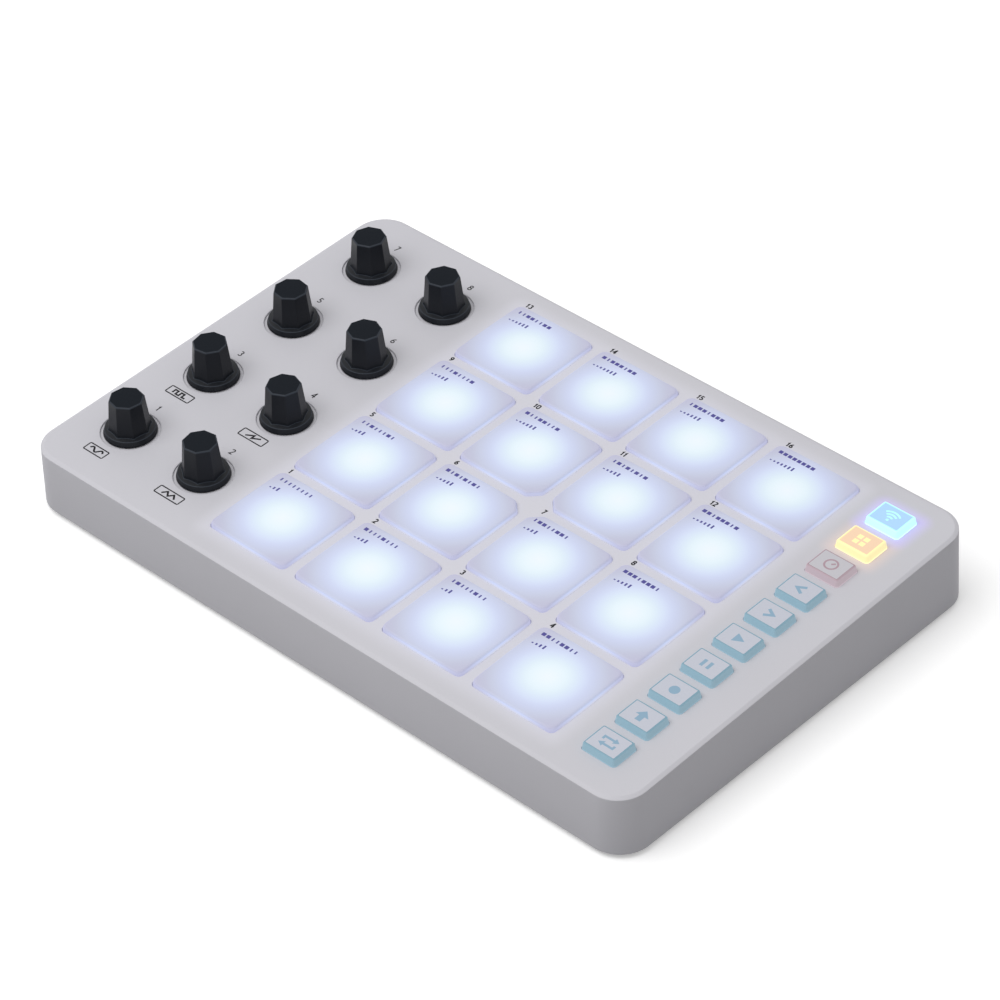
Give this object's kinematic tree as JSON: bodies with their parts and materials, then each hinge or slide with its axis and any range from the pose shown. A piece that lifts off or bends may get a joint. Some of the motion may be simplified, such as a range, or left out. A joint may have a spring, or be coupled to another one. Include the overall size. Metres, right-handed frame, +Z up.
{
  "type": "midi pad controller",
  "caption": "Sloped desktop pad controller with a square field of lit pressure pads, two columns of eight-sided endless knobs and a column of lit transport keys.",
  "frame": {"origin": "on the desk under the middle of the case, at the soles of the feet", "axes": "+X to the right along the panel, +Y to the back wall, +Z up from the desk; the panel rises to the back by 1.94 degrees"},
  "size_m": [0.2376, 0.154, 0.0391],
  "materials": {
    "shell_abs": "fine moulded texture, warm light grey ABS",
    "cover_abs": "fine moulded texture, mid grey ABS",
    "foot_rubber": "matt black rubber",
    "screw_steel": "zinc-plated steel",
    "circuit_board": "green solder mask on glass fibre",
    "sensor_film": "amber polyimide film",
    "baffle_white": "white moulded plastic",
    "light_chip": "clear resin over a light chip",
    "switch_black": "black moulded nylon",
    "encoder_metal": "plated pressed steel",
    "socket_steel": "bright stainless sheet",
    "battery_foil": "silver laminate pouch",
    "foam_tape": "black foam tape",
    "pad_silicone": "translucent white silicone, lit from below",
    "key_blue": "translucent blue with a light grey painted top",
    "key_rose": "translucent rose with a light grey painted top",
    "key_amber": "translucent amber, lit",
    "key_cyan": "translucent cyan, lit",
    "knob_plastic": "satin black moulded plastic"
  },
  "bodies": {
    "case": {"top_cover": "shell_abs", "bottom_cover": "cover_abs", "rubber_feet": "foot_rubber", "case_screws": "screw_steel", "main_board": "circuit_board", "board_screws": "screw_steel", "pressure_film": "sensor_film", "light_baffle": "baffle_white", "pad_lights": "light_chip", "key_switches": "switch_black", "key_lights": "light_chip", "encoders": "encoder_metal", "wireless_module": "socket_steel", "battery": "battery_foil", "battery_tape": "foam_tape", "charge_socket": "socket_steel", "power_switch": "encoder_metal"},
    "power_slider": {"power_slider": "switch_black"},
    "pad_1": {"pad_1": "pad_silicone"},
    "pad_2": {"pad_2": "pad_silicone"},
    "pad_3": {"pad_3": "pad_silicone"},
    "pad_4": {"pad_4": "pad_silicone"},
    "pad_5": {"pad_5": "pad_silicone"},
    "pad_6": {"pad_6": "pad_silicone"},
    "pad_7": {"pad_7": "pad_silicone"},
    "pad_8": {"pad_8": "pad_silicone"},
    "pad_9": {"pad_9": "pad_silicone"},
    "pad_10": {"pad_10": "pad_silicone"},
    "pad_11": {"pad_11": "pad_silicone"},
    "pad_12": {"pad_12": "pad_silicone"},
    "pad_13": {"pad_13": "pad_silicone"},
    "pad_14": {"pad_14": "pad_silicone"},
    "pad_15": {"pad_15": "pad_silicone"},
    "pad_16": {"pad_16": "pad_silicone"},
    "key_repeat": {"key_repeat": "key_blue"},
    "key_shift": {"key_shift": "key_blue"},
    "key_record": {"key_record": "key_blue"},
    "key_pause": {"key_pause": "key_blue"},
    "key_play": {"key_play": "key_blue"},
    "key_right": {"key_right": "key_blue"},
    "key_left": {"key_left": "key_blue"},
    "key_knob_bank": {"key_knob_bank": "key_rose"},
    "key_pad_bank": {"key_pad_bank": "key_amber"},
    "key_wireless": {"key_wireless": "key_cyan"},
    "knob_1": {"knob_1": "knob_plastic", "encoder_shaft_1": "encoder_metal"},
    "knob_2": {"knob_2": "knob_plastic", "encoder_shaft_2": "encoder_metal"},
    "knob_3": {"knob_3": "knob_plastic", "encoder_shaft_3": "encoder_metal"},
    "knob_4": {"knob_4": "knob_plastic", "encoder_shaft_4": "encoder_metal"},
    "knob_5": {"knob_5": "knob_plastic", "encoder_shaft_5": "encoder_metal"},
    "knob_6": {"knob_6": "knob_plastic", "encoder_shaft_6": "encoder_metal"},
    "knob_7": {"knob_7": "knob_plastic", "encoder_shaft_7": "encoder_metal"},
    "knob_8": {"knob_8": "knob_plastic", "encoder_shaft_8": "encoder_metal"}
  },
  "joints": [
    {"name": "pad_1_press", "type": "slide", "parent": "case", "child": "pad_1", "axis": [0, 0.0339, -0.9994], "range_m": [0, 0.001], "stiffness_N_per_m": 2500, "springref_m": -0.0002},
    {"name": "pad_2_press", "type": "slide", "parent": "case", "child": "pad_2", "axis": [0, 0.0339, -0.9994], "range_m": [0, 0.001], "stiffness_N_per_m": 2500, "springref_m": -0.0002},
    {"name": "pad_3_press", "type": "slide", "parent": "case", "child": "pad_3", "axis": [0, 0.0339, -0.9994], "range_m": [0, 0.001], "stiffness_N_per_m": 2500, "springref_m": -0.0002},
    {"name": "pad_4_press", "type": "slide", "parent": "case", "child": "pad_4", "axis": [0, 0.0339, -0.9994], "range_m": [0, 0.001], "stiffness_N_per_m": 2500, "springref_m": -0.0002},
    {"name": "pad_5_press", "type": "slide", "parent": "case", "child": "pad_5", "axis": [0, 0.0339, -0.9994], "range_m": [0, 0.001], "stiffness_N_per_m": 2500, "springref_m": -0.0002},
    {"name": "pad_6_press", "type": "slide", "parent": "case", "child": "pad_6", "axis": [0, 0.0339, -0.9994], "range_m": [0, 0.001], "stiffness_N_per_m": 2500, "springref_m": -0.0002},
    {"name": "pad_7_press", "type": "slide", "parent": "case", "child": "pad_7", "axis": [0, 0.0339, -0.9994], "range_m": [0, 0.001], "stiffness_N_per_m": 2500, "springref_m": -0.0002},
    {"name": "pad_8_press", "type": "slide", "parent": "case", "child": "pad_8", "axis": [0, 0.0339, -0.9994], "range_m": [0, 0.001], "stiffness_N_per_m": 2500, "springref_m": -0.0002},
    {"name": "pad_9_press", "type": "slide", "parent": "case", "child": "pad_9", "axis": [0, 0.0339, -0.9994], "range_m": [0, 0.001], "stiffness_N_per_m": 2500, "springref_m": -0.0002},
    {"name": "pad_10_press", "type": "slide", "parent": "case", "child": "pad_10", "axis": [0, 0.0339, -0.9994], "range_m": [0, 0.001], "stiffness_N_per_m": 2500, "springref_m": -0.0002},
    {"name": "pad_11_press", "type": "slide", "parent": "case", "child": "pad_11", "axis": [0, 0.0339, -0.9994], "range_m": [0, 0.001], "stiffness_N_per_m": 2500, "springref_m": -0.0002},
    {"name": "pad_12_press", "type": "slide", "parent": "case", "child": "pad_12", "axis": [0, 0.0339, -0.9994], "range_m": [0, 0.001], "stiffness_N_per_m": 2500, "springref_m": -0.0002},
    {"name": "pad_13_press", "type": "slide", "parent": "case", "child": "pad_13", "axis": [0, 0.0339, -0.9994], "range_m": [0, 0.001], "stiffness_N_per_m": 2500, "springref_m": -0.0002},
    {"name": "pad_14_press", "type": "slide", "parent": "case", "child": "pad_14", "axis": [0, 0.0339, -0.9994], "range_m": [0, 0.001], "stiffness_N_per_m": 2500, "springref_m": -0.0002},
    {"name": "pad_15_press", "type": "slide", "parent": "case", "child": "pad_15", "axis": [0, 0.0339, -0.9994], "range_m": [0, 0.001], "stiffness_N_per_m": 2500, "springref_m": -0.0002},
    {"name": "pad_16_press", "type": "slide", "parent": "case", "child": "pad_16", "axis": [0, 0.0339, -0.9994], "range_m": [0, 0.001], "stiffness_N_per_m": 2500, "springref_m": -0.0002},
    {"name": "key_repeat_press", "type": "slide", "parent": "case", "child": "key_repeat", "axis": [0, 0.0339, -0.9994], "range_m": [0, 0.0006], "stiffness_N_per_m": 1500, "springref_m": -0.0002},
    {"name": "key_shift_press", "type": "slide", "parent": "case", "child": "key_shift", "axis": [0, 0.0339, -0.9994], "range_m": [0, 0.0006], "stiffness_N_per_m": 1500, "springref_m": -0.0002},
    {"name": "key_record_press", "type": "slide", "parent": "case", "child": "key_record", "axis": [0, 0.0339, -0.9994], "range_m": [0, 0.0006], "stiffness_N_per_m": 1500, "springref_m": -0.0002},
    {"name": "key_pause_press", "type": "slide", "parent": "case", "child": "key_pause", "axis": [0, 0.0339, -0.9994], "range_m": [0, 0.0006], "stiffness_N_per_m": 1500, "springref_m": -0.0002},
    {"name": "key_play_press", "type": "slide", "parent": "case", "child": "key_play", "axis": [0, 0.0339, -0.9994], "range_m": [0, 0.0006], "stiffness_N_per_m": 1500, "springref_m": -0.0002},
    {"name": "key_right_press", "type": "slide", "parent": "case", "child": "key_right", "axis": [0, 0.0339, -0.9994], "range_m": [0, 0.0006], "stiffness_N_per_m": 1500, "springref_m": -0.0002},
    {"name": "key_left_press", "type": "slide", "parent": "case", "child": "key_left", "axis": [0, 0.0339, -0.9994], "range_m": [0, 0.0006], "stiffness_N_per_m": 1500, "springref_m": -0.0002},
    {"name": "key_knob_bank_press", "type": "slide", "parent": "case", "child": "key_knob_bank", "axis": [0, 0.0339, -0.9994], "range_m": [0, 0.0006], "stiffness_N_per_m": 1500, "springref_m": -0.0002},
    {"name": "key_pad_bank_press", "type": "slide", "parent": "case", "child": "key_pad_bank", "axis": [0, 0.0339, -0.9994], "range_m": [0, 0.0006], "stiffness_N_per_m": 1500, "springref_m": -0.0002},
    {"name": "key_wireless_press", "type": "slide", "parent": "case", "child": "key_wireless", "axis": [0, 0.0339, -0.9994], "range_m": [0, 0.0006], "stiffness_N_per_m": 1500, "springref_m": -0.0002},
    {"name": "knob_1_turn", "type": "hinge", "parent": "case", "child": "knob_1", "pos_m": [-0.0991, -0.05231, 0.02293], "axis": [0, -0.0339, 0.9994], "continuous": true},
    {"name": "knob_2_turn", "type": "hinge", "parent": "case", "child": "knob_2", "pos_m": [-0.06765, -0.05231, 0.02293], "axis": [0, -0.0339, 0.9994], "continuous": true},
    {"name": "knob_3_turn", "type": "hinge", "parent": "case", "child": "knob_3", "pos_m": [-0.0991, -0.01788, 0.02409], "axis": [0, -0.0339, 0.9994], "continuous": true},
    {"name": "knob_4_turn", "type": "hinge", "parent": "case", "child": "knob_4", "pos_m": [-0.06765, -0.01788, 0.02409], "axis": [0, -0.0339, 0.9994], "continuous": true},
    {"name": "knob_5_turn", "type": "hinge", "parent": "case", "child": "knob_5", "pos_m": [-0.0991, 0.01655, 0.02526], "axis": [0, -0.0339, 0.9994], "continuous": true},
    {"name": "knob_6_turn", "type": "hinge", "parent": "case", "child": "knob_6", "pos_m": [-0.06765, 0.01655, 0.02526], "axis": [0, -0.0339, 0.9994], "continuous": true},
    {"name": "knob_7_turn", "type": "hinge", "parent": "case", "child": "knob_7", "pos_m": [-0.0991, 0.05098, 0.02642], "axis": [0, -0.0339, 0.9994], "continuous": true},
    {"name": "knob_8_turn", "type": "hinge", "parent": "case", "child": "knob_8", "pos_m": [-0.06765, 0.05098, 0.02642], "axis": [0, -0.0339, 0.9994], "continuous": true},
    {"name": "power_slide", "type": "slide", "parent": "case", "child": "power_slider", "axis": [1, 0, 0], "range_m": [0, 0.003]}
  ]
}
